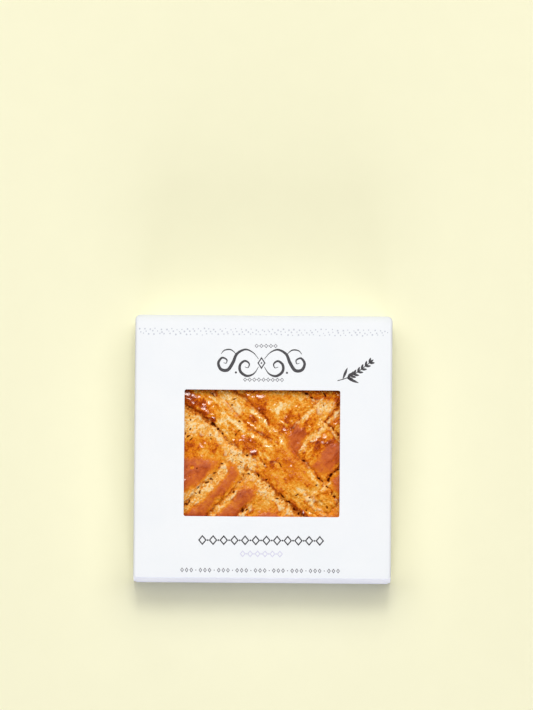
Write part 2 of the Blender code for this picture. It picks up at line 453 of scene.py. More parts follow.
def wheat_sprig(bm, x, y):
    """A curved ear of wheat with two leaves."""
    knots = ((-9.0, -5.2), (-4.0, -3.6), (1.0, -0.8), (6.8, 3.8))
    stem = curve_points([(x + a, y + b) for a, b in knots])
    stroke(bm, stem, [0.45] * len(stem))
    first, last = len(stem) // 3, len(stem) - 1
    pairs = 7
    for i in range(pairs):
        at = first + (last - first) * i // (pairs - 1)
        px, py = stem[at]
        behind = stem[at - 3]
        heading = math.degrees(math.atan2(py - behind[1], px - behind[0]))
        for side in (-1, 1):
            leaf(bm, px, py, heading + side * 34, 3.0, 1.15)
    leaf(bm, *stem[last], 40, 3.0, 1.1)
    leaf(bm, x - 6.4, y - 4.4, 68, 6.4, 1.3)
    leaf(bm, x - 4.4, y - 3.8, -22, 6.6, 1.3)


def lozenge_row(bm, left, right, y, count, half_height, line):
    """Outlined lozenges with a dot between each two."""
    step = (right - left) / count
    for i in range(count):
        at = left + step * (i + 0.5)
        lozenge(bm, at, y, step * 0.33, half_height, line)
        if i:
            dot(bm, left + step * i, y, line * 0.75)


def dash_row(bm, left, right, y, count, height, line):
    """Short upright dashes with a dot after every third."""
    step = (right - left) / count
    for i in range(count):
        at = left + step * (i + 0.5)
        if i % 4 == 3:
            dot(bm, at, y, line * 0.8)
        else:
            lozenge(bm, at, y, step * 0.3, height / 2, line)


def dotted_band(bm, seed=11):
    """A narrow band of small dots in three uneven rows, all the way across."""
    draw = random.Random(seed)
    step = 2.7
    reach = (HALF_WIDTH - CREASE) / MM
    for row, level in enumerate((62.8, 61.5, 60.2)):
        count = int(2 * reach / step - row / 2)
        for i in range(count):
            x = step * (i + 0.5 + row / 3) - reach - WINDOW_MIDDLE[0] / MM
            y = level + draw.uniform(-0.4, 0.4)
            dot(bm, x + draw.uniform(-0.4, 0.4), y, draw.uniform(0.30, 0.50), sides=10)


def print_piece(name, ink, drawings):
    """One piece of the print, from its drawings, each with its places and sizes."""
    bm = bmesh.new()
    for draw, *sizes in drawings:
        draw(bm, *sizes)
    made = object_from(bm, name)
    made.data.materials.append(ink_material(name + "_ink", ink))
    return made


def make_print():
    ornaments = (
        (scroll_ornament, -0.6, 45.8),
        (wheat_sprig, 46.9, 42.3),
        (lozenge_row, -32.4, 32.2, -44.2, 12, 2.1, 0.62),
    )
    small_rows = (
        (lozenge_row, -4.3, 7.7, 54.5, 5, 0.9, 0.28),
        (lozenge_row, -10.0, 11.0, 37.3, 9, 0.9, 0.28),
        (dash_row, -41.0, 40.0, -59.4, 35, 1.9, 0.32),
    )
    pale_row = (lozenge_row, -11.2, 11.3, -51.0, 6, 1.4, 0.5)
    return [
        print_piece("print_ornaments", INK_DARK, ornaments),
        print_piece("print_small_rows", INK_GREY, small_rows),
        print_piece("print_pale_row", INK_LAVENDER, [pale_row]),
        print_piece("print_dotted_band", INK_DOTS, [(dotted_band,)]),
    ]


# The crust's features, in mm from the middle of the window.

# Fork marks, each from left to right: its points, its depth, how wide the torn crumb slopes
# up on its near side, and how far it is cracked.
MARKS = (
    (((-58, 38), (-39, 24), (-33, 21.5), (-27, 16.5), (-23, 13), (-19.5, 8.5), (-15, 4.4),
     (-12.5, 2.6)), 2, 3.2, 1),
    (((-12.5, 2.2), (-7, -1), (-2.5, -3.2), (1, -5)), 0.8, 1.6, 0.6),
    (((-8, -8), (-5, -9.4), (-1.5, -11.9), (3.5, -15.8), (8, -21), (13, -24.2), (20.5, -31),
     (32, -43)), 1.3, 4.6, 0.45),
    (((-46, 50), (-26, 31), (-18, 25.5), (-15.5, 22), (-8, 14), (-2, 10), (5, 7)),
     0.7, 0.8, 0.15),
    (((-30, 50), (-13, 31), (-7, 26.5), (-4, 23.3), (1, 18.5), (4, 15)), 1.2, 1.2, 0.5),
    (((5, 12.5), (11, 8), (14, 3), (20.5, -3), (25, -7.5), (29, -12), (33, -16.5), (39, -25),
     (54, -40)), 1.1, 0.9, 0.45),
    (((5, -4), (8, -5.5), (11, -8), (12.5, -10), (13.5, -13.5)), 0.7, 0.8, 0.3),
    (((23, -20.5), (27.5, -25.6), (31.5, -29.2), (44, -43)), 0.9, 1.8, 0.5),
    (((-58, -52), (-38, -26), (-33, -19), (-30, -16.5), (-26, -13.6), (-23, -9.8), (-19.8, -5),
     (-16, -0.5)), 1.2, 4.6, 0.3),
    (((-44, -55), (-26, -30.2), (-18, -22.4), (-14.5, -18.6), (-10.7, -13.8), (-9, -11)),
     1.3, 3.2, 0.7),
    (((-32, -57), (-12, -30.8), (-8, -27.4)), 1.2, 2.6, 0.9),
    (((14, 11), (19, 17), (23, 21), (29, 27)), 0.6, 1.8, 0.1),
    (((31.5, 16), (35, 20), (39, 25), (56, 47)), 1.2, 2.2, 0.6),
    (((31, 16.5), (36.5, 12), (38.2, 9.5), (58, -10)), 1.1, 2, 0.6),
    (((18.8, 2.5), (22, 7.6), (28, 11), (31.5, 14.5)), 0.8, 2.2, 0.2),
    (((31, -16), (33.5, -12.5), (36.5, -9), (39, -7), (58, 16)), 1.5, 2.8, 1),
    (((4, 52), (22, 30.5), (25, 28.5), (28, 27.5)), 1, 1.2, 0.6),
    (((-58, -20), (-42, -10)), 0.8, 2, 0.5),
    (((26, -40), (60, -1)), 1.2, 2.6, 0.6),
    (((-60, 20), (-38, 52)), 1, 2.6, 0.6),
    (((34, 56), (60, 28)), 1.2, 2, 0.6),
)

# Where the crumb is torn open without a mark: outlines.
TORN_PATCHES = (
    ((-43, 19), (-34, 19), (-27, 14), (-20, 8), (-15.5, 3), (-19, 2.5), (-26, 8), (-33, 10),
     (-43, 8)),
    ((-19, 1), (-14, 3), (-6, -1), (-2, -5), (-4, -9), (-9, -8), (-13, -6.5), (-18, -6)),
    ((28, 20), (33, 21), (37, 23.5), (36, 26), (31, 26.5), (27.5, 24)),
    ((-16.5, 21), (-12, 20), (-10.5, 23.5), (-15, 24.5)),
    ((-40, -20), (-33, -15.8), (-27, -11.5), (-22.5, -8), (-20, -10.5), (-30, -19), (-40, -27)),
    ((-3, -15), (2, -16.5), (5.5, -20), (3, -23), (-1, -21)),
    ((21, -19), (26, -21), (29, -26), (26, -27.5), (22, -23)),
)

# Where the egg glaze lies thick and smooth: outlines.
GLAZE_PATCHES = (
    ((-43, -3.5), (-33, -2.6), (-26.5, -3), (-21.5, -4.2), (-26, -9.6), (-31.2, -15),
     (-37, -18.8), (-43, -21)),
    ((-43, -34), (-38.5, -31.2), (-31.8, -26.4), (-25.2, -19.7), (-19.4, -13.8), (-17.2, -9.8),
     (-16.2, -4.4), (-13.6, -7.6), (-11.6, -10.5), (-13.6, -15), (-21.2, -21.2), (-25.2, -26.2),
     (-29.6, -34)),
    ((-24.2, -34), (-18.8, -28), (-14.2, -23.8), (-11.8, -20.6), (-9.6, -18.8), (-5, -19.2),
     (-3, -22), (-6, -25), (-10.5, -28), (-13.5, -34)),
    ((-2, -34), (-1, -30.6), (4, -29.8), (8, -30.8), (10, -34)),
    ((18.5, 15), (21.6, 11.5), (21, 7), (19, 3), (16.4, -0.4), (13.6, 1.5), (12.3, 5), (13, 8.5),
     (15.5, 12)),
    ((33, 3.5), (36, 5), (43, 5), (43, -3), (37.5, -5), (35, -9), (31.5, -11), (27, -8.5),
     (25.6, -6), (28.5, -2.5), (30.5, 1)),
    ((35.2, -12), (43, -9), (43, -22), (37.6, -19.5), (36, -16)),
)

# Small gaps in it, where the gold crust shows: x, y, half length and half width.
GLAZE_GAPS = ((-35.3, -7.5, 1.1, 1.1), (-36.5, -12, 0.5, 0.5), (36, -3.4, 0.5, 0.5))

# Where the glaze is thinner and more orange: outlines.
THIN_GLAZE_PATCHES = (
    ((4, -3), (6, 1.5), (10, 3.5), (14, 2), (20, -4.5), (24, -9), (20, -10), (14, -6)),
    ((2, -9), (6, -8), (10, -12), (13, -16), (10, -18), (5, -14)),
    ((16, -8), (21, -9), (27, -14), (29, -18), (24, -16), (18, -12)),
    ((30, -27), (36, -26), (41, -27), (41, -34), (33, -33)),
    ((-13, 9), (-8, 8), (-3, 4), (-5, 2.5), (-11, 5)),
    ((-6, -34), (-5, -27), (-1, -24), (3, -25), (8, -28.5), (12, -34)),
    ((-13, -19), (-10.5, -13.5), (-5, -13), (-2, -17), (-4, -20.5), (-10, -20)),
    ((7, -2), (13, -2), (18, -7), (23, -12), (22, -16.5), (17, -16), (12, -12), (8, -7)),
)

# Broad changes of tone: x, y, half length, half width, turn in degrees, and the change (up is
# browner). Some are painted shade: beside grooves, and at y near -33 along the window's near edge.
TONES = (
    (-35, 27.5, 6, 3.5, -35, 0.34), (-37, 21.8, 4.5, 1.3, -35, 0.5),
    (-29.5, 17.5, 3.5, 1, -40, 0.35), (-9, -6.2, 2.5, 1.2, -20, 0.3), (-5.5, 1.4, 3, 1, -20, 0.3),
    (-29, 23, 3.5, 5, 20, 0.26), (-19, 25, 7, 5, -20, -0.26), (-17, 13.5, 7, 5.5, -40, -0.2),
    (-35, 3.5, 4, 3, 0, 0.2), (-25, 3, 3.5, 2.5, 0, 0.22), (-29.5, 6, 5, 2, 30, 0.1),
    (-7, 6.5, 7, 3, -20, 0.26), (-6, 18.2, 5.5, 2.2, -48, 0.28), (1.5, 20.5, 7, 2.2, -50, 0.24),
    (0, 26, 6, 4, -45, 0.36), (1.5, 9, 4, 3, 0, 0.2), (6, 24, 3, 4, 0, 0.02),
    (13, 18, 7, 4, 20, 0.2), (11, 12, 4, 3, 0, 0.24), (27, 18, 5.5, 3, 35, 0.14),
    (30, 22, 8, 3, 20, -0.15), (28, 5, 5, 4, 0, 0.18), (37, 6, 4, 3, 0, 0.26),
    (25, -1, 4, 4, -45, 0.06), (19, -6, 4, 2.5, -45, 0.05), (31, -21, 8, 9, 0, -0.12),
    (24, -14, 8, 4, -45, -0.08), (4, -12, 5, 3, -45, 0.1), (-10, -21, 5, 3, 40, 0.12),
    (12, -19, 9, 2.5, -38, 0.1), (18.5, -29.5, 6, 2.4, -40, 0.42), (-25, -20.5, 7, 1.6, 48, -0.1),
    (38, 27, 3, 4, 0, 0.22), (11, 24, 9, 4, 15, -0.2), (7, 26, 4, 3, 60, -0.1),
    (34, 6.5, 5, 2.2, 15, 0.2), (37, -2, 6, 6, 0, 0.18), (-35, -9, 6, 5, 0, 0.3),
    (17, 6, 3, 6, 0, 0.12), (15, -8, 13, 5, -42, 0.2), (30, -22, 9, 5, -42, 0.12),
    (-32, 24, 3, 2.5, -45, 0.06), (-8, 7, 6, 3, -20, 0.12), (-3, 3, 4, 2, -35, 0.1),
    (5, -5, 5, 2, -55, 0.12), (-12, -3, 6, 3, -20, -0.12), (-31, -31, 4, 1.2, 0, 0.3),
    (21.4, 10.4, 1.1, 1.8, 0, 0.3), (-10, -21, 2, 1.6, 0, 0.2), (-33, 14, 6, 3, -35, -0.07),
    (36, -17, 2, 3, -30, 0.08), (-4, -23.5, 7, 5, 0, -0.08), (20, -14, 16, 5, -45, -0.05),
    (31, 6, 7, 6, 20, 0.05), (17, 7, 3, 4, 0, 0.08), (-36.5, 28, 4, 2.5, -40, 0.3),
    # Those at y near -33 darken the crust along the window's near edge: painted shade.
    (31, 3, 4, 3, 0, 0.12), (-31, -33.4, 8, 2.6, 0, 0.36), (-13, -33.8, 10, 1.9, 0, 0.28),
    (-30, -32.9, 9, 0.9, 0, 0.55), (-8, -33.1, 12, 0.8, 0, 0.4), (20, -34, 20, 2, 0, 0.16),
    (-28, -12.2, 6, 1.5, 47, -0.24), (18.8, 10.5, 3, 2.4, 0, 0.26),
)

# Ridges and channels of the crust: points, half width, rise in mm and change of tone. The ones
# that sink are painted darker, as shade in the channel.
STROKES = (
    (((-12.8, 25), (-8.5, 22.2), (-4.5, 20), (-1, 17.8), (2.4, 15.2)), 0.9, 0.3, -0.3),
    (((-14, 31.5), (-10, 28.3), (-6, 25.3), (-2.6, 21.8), (1, 18.6), (4.2, 14.8)),
     0.7, -0.25, 0.22),
    (((-18.5, 26.5), (-15.8, 22.5), (-11, 18), (-8.3, 14.8), (-6, 12.4), (-3.5, 10.8), (0, 9.6)),
     0.6, -0.3, 0.2),
    (((-18, 18), (-14, 15.2), (-10.5, 12.2), (-6, 9.4), (-2, 6.8), (2, 4.7), (5, 3.3)),
     1.3, 0.3, -0.24),
    (((-13.4, 21.8), (-11.4, 21.2)), 1.1, 0.2, -0.3),
    (((5.3, 12.6), (8, 11), (10.5, 9), (12, 6.8), (13.6, 4)), 0.8, 0.3, -0.28),
    (((8.8, 6.8), (10.5, 4.8), (12.5, 3.4)), 0.6, 0.2, -0.25),
    (((10.8, 4), (13, 1.6), (15, -0.6)), 0.7, 0, -0.12),
    (((1.2, -0.2), (3.2, -2), (4.4, -3.2)), 0.6, 0.2, -0.35),
    (((6.6, -5.2), (9, -7.3), (10.6, -8.8)), 0.9, 0.2, -0.25),
    (((25.6, -11.6), (27.2, -13.8), (28.8, -16.4)), 0.8, 0.2, -0.28),
    (((18.4, 15.4), (20.6, 17.6), (23, 19.6), (25.4, 22), (28, 24)), 0.8, 0.3, -0.22),
    (((20.6, 5.4), (22.6, 7.8), (26, 9.8), (29, 11.2), (31.4, 13.8)), 0.9, 0.3, -0.2),
    (((39.5, 25), (36.8, 22), (34, 19), (31.6, 16.5)), 0.7, -0.3, 0.32),
    (((31.6, 16.5), (34.8, 13.8), (36.4, 11.6), (38, 9.4)), 0.5, -0.3, 0.28),
    (((3, 23.5), (5.5, 22.6), (7, 21.4)), 1.3, 0.2, -0.3),
    (((7, 18.8), (8.4, 21.6), (9.6, 25.4)), 0.8, 0.2, -0.28),
    (((8.8, 16.6), (11, 15.4), (13.2, 14.2)), 0.6, 0.2, -0.35),
    (((-1.8, 13.2), (3.8, 13.6)), 0.9, 0.1, -0.14),
    (((18.6, -17.6), (21, -20.6), (24.5, -24.4), (27.6, -28.4)), 0.9, 0.2, -0.2),
    (((9.4, -16.6), (12, -17.4), (15.6, -20.2)), 1, 0.15, -0.2),
    (((1, -14.5), (5, -18), (9.5, -22.5), (14, -26), (18, -30)), 1.6, -0.2, 0.14),
    (((-41, 25.5), (-37, 23.5), (-33.5, 21.5), (-30.5, 19.5), (-28, 17)), 1.1, -0.3, 0.24),
    (((16.5, -4), (20, -6.6), (24, -10)), 0.9, 0, -0.1),
)

# Dark glossy blisters: x, y, half sizes, height.
BLISTERS = (
    (-25, 17, 2, 2, 0.7), (-4.2, -0.4, 2.6, 1.5, 0.8), (5, -4.2, 1.2, 1, 0.4),
    (21, -30.3, 1, 1.6, 0.4), (28, 5.6, 1.2, 1, 0.3),
)

# Holes in the torn crumb, sunk and painted dark as shade: x, y, half length, half width
# and, if any, turn in degrees.
HOLES = (
    (-24.8, 14.6, 1.6, 0.8, -25), (-22.6, 12.4, 1, 0.5, -50), (-20.3, 9.7, 0.7, 0.4, -50),
    (-38.2, -26.2, 1.2, 0.45, 30), (-36.8, -24.8, 0.8, 0.35, 60), (-32.6, -7.5, 0.45, 0.4),
    (-32, -17.6, 0.8, 0.4, 60), (-27.6, -15.3, 1, 0.45, 20), (-25.4, -13.5, 0.9, 0.35),
    (-24, -9.8, 0.9, 0.35, 10), (-19.9, -5, 0.7, 0.4, 60), (-7.4, -0.8, 0.7, 0.4, -50),
    (0.8, -5.2, 0.6, 0.4, -80), (-7.6, -6.8, 0.7, 0.35, 70), (-6.8, -10.7, 1.1, 0.35, -35),
    (-2.2, -11.2, 1.3, 0.35, -55), (2, -13.3, 0.7, 0.35, -10), (7.4, -22.8, 1.1, 0.5, 10),
    (10.4, -21.3, 1.3, 0.4, -40), (16.8, -28, 0.9, 0.45, -40), (18.6, -30.4, 0.9, 0.5, -50),
    (33.6, -13, 1.1, 0.8, 30), (34.9, -10.8, 1.3, 0.6, 65), (38.6, -7.9, 0.6, 0.5),
    (37, -8.8, 0.8, 0.35, 40), (36.8, -22, 0.6, 0.7, 30), (-9.8, -29.3, 1.1, 0.4, 50),
    (-7.8, -28.6, 0.9, 0.35, 45), (-11.1, -14.8, 0.8, 0.35, 50), (-14.7, -19.7, 0.8, 0.35, 60),
    (38.3, 9.3, 0.6, 0.35, 20), (36.2, 12.5, 0.4, 0.4), (-35.9, 6.9, 0.9, 0.35, 50),
    (-38.4, 9.5, 0.6, 0.3, 80), (22.4, 30.4, 0.9, 0.5), (25, 28.6, 0.9, 0.45, -40),
    (31, 24, 0.6, 0.35, -30), (24, -22.3, 0.5, 0.5), (17.8, -20.6, 0.8, 0.35, 10),
    (27.8, -15.8, 0.9, 0.35, 25), (-14.3, 27.1, 0.9, 0.3, 15), (-25, 29.6, 1.8, 0.35, -45),
    (31.8, 29.8, 1.2, 0.35, -55), (3.6, -17, 0.6, 0.4), (13.5, -24, 1.2, 0.35, -45),
    (32.9, -27.3, 0.4, 0.6), (22.7, -28.8, 0.4, 0.5), (33.2, -16.8, 1.2, 0.35, -50),
    (-36.3, 16.6, 0.6, 0.3, -60), (-37.2, 18.8, 0.5, 0.3), (-36.4, 12.4, 0.7, 0.3, 50),
    (-37.4, 8.4, 1, 0.25, 45), (-26.2, 9, 0.5, 0.25, -45), (-25.6, 6.8, 0.8, 0.25, -50),
    (-15.4, 24.2, 0.5, 0.3, 20), (-11.8, 15.8, 0.6, 0.4, 30), (-12, 11.2, 0.9, 0.25, 40),
    (-13.6, 9.6, 0.8, 0.3, 60), (-31.4, -19.8, 1, 0.25, 55), (-33.2, -20.6, 0.8, 0.25, -50),
    (30.4, -13.6, 0.8, 0.3, -45), (35.4, -20, 1, 0.3, -50), (-10.2, -4.6, 0.5, 0.25),
    (-14.2, -1.4, 0.4, 0.25, 30), (29, -12.2, 1.3, 0.35, -50), (21, -3.6, 1.1, 0.4, -50),
    (9.2, -5.8, 1.2, 0.3, -45),
)

# Wet, shining places, given in the same way.
WET = (
    (-38, 29.8, 2.1, 1.2, -20), (-35.6, 28.9, 2, 1, -10), (-32.2, 28.4, 1.5, 0.7, 10),
    (-37.2, 27.4, 2.2, 0.6, -45), (-35.2, 25.4, 2, 0.6, -45), (-29.2, 24.6, 1.1, 1.1),
    (-29.8, 22.6, 1.4, 0.9, -30), (-26.7, 25.6, 1.1, 1), (-26.4, 28, 1, 0.5),
    (-28, 21.4, 1.4, 0.6, -50), (-25.4, 19.8, 0.9, 0.6), (-25.3, 18, 0.7, 0.5),
    (-1, 28.8, 2.4, 1.2, -10), (-4.6, 28.8, 1.1, 0.8), (-7, 29.6, 1.3, 0.7, -20),
    (-4.4, 0.8, 2.2, 1, 10), (-3.2, 20, 1.1, 0.8, -45), (-1.8, 17.8, 1, 0.7, -45),
    (1.2, 16.6, 1.2, 0.7, -45), (2.4, 15, 1, 0.7, -45), (-7.2, 15.6, 1.2, 0.7, -40),
    (-5.2, 13.8, 1.4, 0.8, -45), (-3.4, 12.6, 1.2, 0.7, -20), (-9.3, 8.8, 0.9, 0.5),
    (-10.7, 6.6, 0.8, 0.5, 30), (-4.6, 8.6, 1.1, 0.7), (3, 3.6, 2.2, 0.7, 8),
    (9.8, 6.2, 0.7, 0.7, -30), (-30.2, 3.4, 1.7, 0.6, -50), (11.4, 18.4, 0.6, 0.6),
    (14.8, 16.2, 0.5, 0.5), (9.8, 16.2, 1.6, 0.7, -35), (11.4, 12, 1.2, 0.8),
    (14.6, 10, 0.5, 0.5), (27.2, 7, 1, 0.7), (30.6, 5.2, 0.9, 0.9), (31.8, 8.8, 1.4, 0.9, 60),
    (22.6, 18.4, 1, 0.8, 45), (20.8, 3.4, 1.2, 1.1), (37, 15.6, 1.2, 0.6, 40),
    (38, 29.4, 0.8, 0.5), (6.4, 11.6, 1.3, 0.8, -35), (21, -30, 0.8, 1.2),
    (24.8, -30.6, 0.8, 0.8), (-14.6, 6.4, 1, 0.8),
)

# How the fork dragged the dough: outlines with the turn of the streaks in degrees.
DRAGGED = (
    (((-60, 62), (-13, 32), (5, 14), (13, 3), (39, -24), (60, -45), (40, -60), (20, -32),
     (0, -12), (-13, 3), (-39, 23)), -45),
    (((-43, -2), (-24, -3), (-8, -8), (4, -18), (20, -34), (-43, -34)), 50),
    (((10, 10), (20, 0), (32, -14), (43, -5), (43, 34), (22, 31)), 42),
)

# Small wet grains, most of them in the far half: lowest y, highest y and how many.
SPARKLES = ((5, 31, 95), (-31, 5, 8))
SPARKLE_REACH = 39

# Noises: the length of their features in mm, layer and octaves. Each has a layer of its own, so
# that no two are alike.
NOISES = {
    "ragged_x": (2.6, 1, 3), "ragged_y": (2.6, 2, 3), "lumps": (8, 3, 1), "crags": (3, 4, 3),
    "fine": (0.95, 5, 2), "speck_lines": (1.7, 7, 2), "speck_areas": (2, 8, 1),
    "pools": (1.2, 10, 1), "breaks": (1.8, 11, 2), "swell": (3.5, 12, 1), "clouds": (5, 13, 2),
    "flaked": (4.5, 14, 1), "uneven": (1.6, 15, 2),
}
LAYER_STEP = 17.3

# Crumbs and grains: their size and layer, how steep they are, and their mean height.
CRUMBS = (1.35, 6)
GRAIN = (0.75, 9)
CRUMB_SLOPE = 1.4
CRUMB_MIDDLE = 0.45

# Streaks: their width, how much longer they are, and their first layers.
STREAK_WIDTH = 1.3
STREAK_STRETCH = 4.0
DRAG_LAYER = 20
FLAKE_LAYER = 30

# How far a noise pushes the outlines about, and the widths over which those turn soft.
RAGGED_SHIFT = 0.8
TORN_SOFTNESS = 4.5
GLAZE_SOFTNESS = 5.5
THIN_GLAZE_SOFTNESS = 5.0
DRAGGED_SOFTNESS = 3.0

# How much of each noise goes into the relief in mm, a crumb's height, and the crust's and the
# glaze's tone. A crumb's height paints it paler on its tops and darker in its hollows, and in the
# crust's tone the tops of the crumbs and grains and the flakes are painted paler: painted light
# and shade.
RELIEF_MIX = {
    "crags": 0.45, "fine": 0.32, "crumbs": 0.38, "grain": 0.34, "drag": 0.30, "flakes": 0.14
}
CREST_MIX = {"crags": 0.34, "crumbs": 0.30, "grain": 0.36, "fine": 0.38, "drag": 0.20}
MOTTLE_MIX = {
    "crags": 0.27, "fine": 0.20, "crumbs": -0.16, "grain": -0.22, "drag": 0.27, "flakes": -0.18
}
GLAZE_MIX = {"lumps": 0.09, "crags": 0.12, "drag": 0.07, "fine": 0.07}

# Tones of the bare crust, the thin glaze, the thick glaze and the blisters, and the tone past
# which the crust darkens by only a share.
CRUST_TONE = 0.39
THIN_GLAZE_TONE = 0.52
GLAZE_TONE = 0.73
BLISTER_TONE = 0.93
DARK_START = 0.76
DARK_SHARE = 0.4

# Fork marks: how much of the depth the crust sinks beside one and how far, how wide a mark's near
# wall is at least and its far wall is, how far its painted shade reaches on the near and the far
# side, how far the crumb is torn on the far side and how softly that ends, and a crack's width.
FLANK_SHARE = 0.35
FLANK_REACH = 4.0
NEAR_WALL = 0.4
FAR_WALL = 1.0
SHADE_REACHES = (1.0, 1.3)
FAR_TEAR = 0.2
TEAR_SOFTNESS = 2.8
CRACK_WIDTH = 0.20


def smooth(share):
    share = np.clip(share, 0.0, 1.0)
    return share * share * (3 - 2 * share)


def bell(away, width):
    """1 at the middle, about a third at the width, and soon 0."""
    return np.exp(-((away / width) ** 2))


def mixed(first, second, share):
    return first * (1 - share) + share * second


def sampled(value_at, u, v, length, layer):
    pairs = zip((u / length).tolist(), (v / length).tolist())
    return np.array([value_at(Vector((a, b, LAYER_STEP * layer))) for a, b in pairs])


def rough_field(u, v, length, layer, octaves):
    """Noise of about -1 to 1, with features about a length across."""
    return sampled(lambda at: noise.fractal(at, 1.0, 2.0, octaves), u, v, length, layer)


def named_noise(u, v, name):
    return rough_field(u, v, *NOISES[name])


def crumb_field(u, v, length, layer):
    """Rounded crumbs: highest at a crumb's middle, and below 0 between crumbs."""
    away = sampled(lambda at: noise.voronoi(at)[0][0], u, v, length, layer)
    return 1.0 - np.clip(CRUMB_SLOPE * away, 0.0, 1.0) - CRUMB_MIDDLE


def line_distance(u, v, points):
    """How far each place is from the line, and whether it is on its near side (lower y)."""
    best = np.full(u.shape, np.inf)
    near_side = np.zeros(u.shape)
    for (ax, ay), (bx, by) in zip(points, points[1:]):
        run_x, run_y = bx - ax, by - ay
        along = ((u - ax) * run_x + (v - ay) * run_y) / (run_x**2 + run_y**2)
        along = np.clip(along, 0.0, 1.0)
        away = np.hypot(u - ax - along * run_x, v - ay - along * run_y)
        closer = away < best
        below = np.where((u - ax) * run_y - (v - ay) * run_x > 0, 1.0, -1.0)
        best = np.where(closer, away, best)
        near_side = np.where(closer, below, near_side)
    return best, near_side


def patch(u, v, points, soft):
    """1 inside the outline, 0 outside, with an edge that is soft over the given width."""
    loop = list(points) + [points[0]]
    inside = np.zeros(u.shape, bool)
    for (ax, ay), (bx, by) in zip(loop, loop[1:]):
        if ay == by:
            continue
        crossing = ((ay > v) != (by > v)) & (u < (bx - ax) * (v - ay) / (by - ay) + ax)
        inside ^= crossing
    away = line_distance(u, v, loop)[0]
    return smooth(np.where(inside, away, -away) / soft + 0.5)


def patches(u, v, outlines, soft):
    return np.max([patch(u, v, points, soft) for points in outlines], axis=0)


def turned(u, v, degrees):
    """How far each place is along a direction, and across it."""
    turn = math.radians(degrees)
    return u * math.cos(turn) + v * math.sin(turn), v * math.cos(turn) - u * math.sin(turn)


def spot(u, v, x, y, half_x, half_y, degrees=0.0):
    """A soft round spot: 1 in the middle, about a third at its rim."""
    along, across = turned(u - x, v - y, degrees)
    return np.exp(-((along / half_x) ** 2) - (across / half_y) ** 2)


def spots(u, v, places, gain, cut):
    """How far each place lies in one of the spots: the gain and the cut set how sharply."""
    return np.max([smooth(gain * spot(u, v, *place) - cut) for place in places], axis=0)


def streaks(u, v, degrees, layer):
    """Noise drawn out along one direction."""
    along, across = turned(u, v, degrees)
    return rough_field(along / STREAK_STRETCH, across, STREAK_WIDTH, layer, 3)


def fork_marks(u, v):
    """The marks' depth in mm, the torn crumb on their near sides, the painted shade on the bank of
    their far sides, and the cracks along them."""
    depth, torn, bank, cracks = (np.zeros(u.shape) for _ in range(4))
    breaks = named_noise(u, v, "breaks")
    swell = named_noise(u, v, "swell")
    thick = CRACK_WIDTH + CRACK_WIDTH * np.clip(swell, -0.5, 1)
    for points, deep, slope, cracked in MARKS:
        away, near_side = line_distance(u, v, points)
        near = near_side > 0
        furrow = deep * bell(away, np.where(near, NEAR_WALL + 0.6 * slope, FAR_WALL))
        flank = FLANK_SHARE * deep * bell(away, FLANK_REACH)
        depth = np.maximum(depth, np.maximum(furrow, flank))
        reach = np.where(near, slope * (1 + 0.5 * swell), FAR_TEAR)
        tear = smooth((reach - away) / TEAR_SOFTNESS + 0.5)
        torn = np.maximum(torn, tear * min(1.0, 0.45 + 0.2 * slope))
        shade = bell(away, np.where(near, *SHADE_REACHES))
        bank = np.maximum(bank, shade * min(1.0, 0.6 * deep))
        line = bell(away, thick) * smooth(3.4 * breaks + 0.45 * cracked - 0.35)
        cracks = np.maximum(cracks, min(1.0, cracked) * line)
    return depth, torn, bank, cracks


def sparkles(seed=5):
    draw = random.Random(seed)
    found = []
    for low, high, count in SPARKLES:
        for _ in range(count):
            place = draw.uniform(-SPARKLE_REACH, SPARKLE_REACH), draw.uniform(low, high)
            sizes = draw.uniform(0.35, 0.8), draw.uniform(0.3, 0.5)
            found.append((*place, *sizes, draw.choice((-45, 45, 0))))
    return tuple(found)


def wet_places(u, v, relief):
    """How wet the crust is, and its relief with the pools of glaze, each tipped to the far end."""
    wet = np.zeros(u.shape)
    pools = np.zeros(u.shape)
    for x, y, *sizes in WET + sparkles():
        share = smooth(1.9 * spot(u, v, x, y, *sizes) - 0.1)
        level = relief[np.argmin((u - x) ** 2 + (v - y) ** 2)] + POOL_RISE
        pools = np.where(share > wet, level - POOL_SLOPE * (v - y), pools)
        wet = np.maximum(wet, share)
    pools += POOL_RIPPLE * named_noise(u, v, "pools")
    return wet, relief + wet * (pools - relief)


def ridges_and_channels(u, v):
    """How high the strokes stand at each place, and how they change its tone: the sunk ones
    darker, as painted shade.
    """
    height = np.zeros(u.shape)
    change = np.zeros(u.shape)
    for points, half_width, rise, darker in STROKES:
        share = bell(line_distance(u, v, points)[0], half_width)
        height += rise * share
        change += darker * share
    return height, change * (1.0 + 0.8 * named_noise(u, v, "uneven"))


def blisters(u, v):
    """How far each place is part of a dark glossy blister, and how high that stands."""
    blistered = np.zeros(u.shape)
    height = np.zeros(u.shape)
    for *place, high in BLISTERS:
        share = smooth(1.5 * spot(u, v, *place) - 0.3)
        blistered = np.maximum(blistered, share)
        height = np.maximum(height, high * share)
    return blistered, height


def dragged_dough(u, v):
    """The streaks that the fork left, and thin flakes along them, which stand a little and are
    painted paler as highlights.
    """
    drag = np.zeros(u.shape)
    flakes = np.zeros(u.shape)
    for i, (points, degrees) in enumerate(DRAGGED):
        dragged = patch(u, v, points, DRAGGED_SOFTNESS)
        drag += dragged * streaks(u, v, degrees, DRAG_LAYER + i)
        # Flakes are painted paler along the streaks: painted highlight.
        thin = smooth((0.09 - np.abs(streaks(u, v, degrees, FLAKE_LAYER + i))) * 14)
        flakes = np.maximum(flakes, dragged * thin)
    return drag, flakes * smooth(1.6 * named_noise(u, v, "flaked") + 0.45)


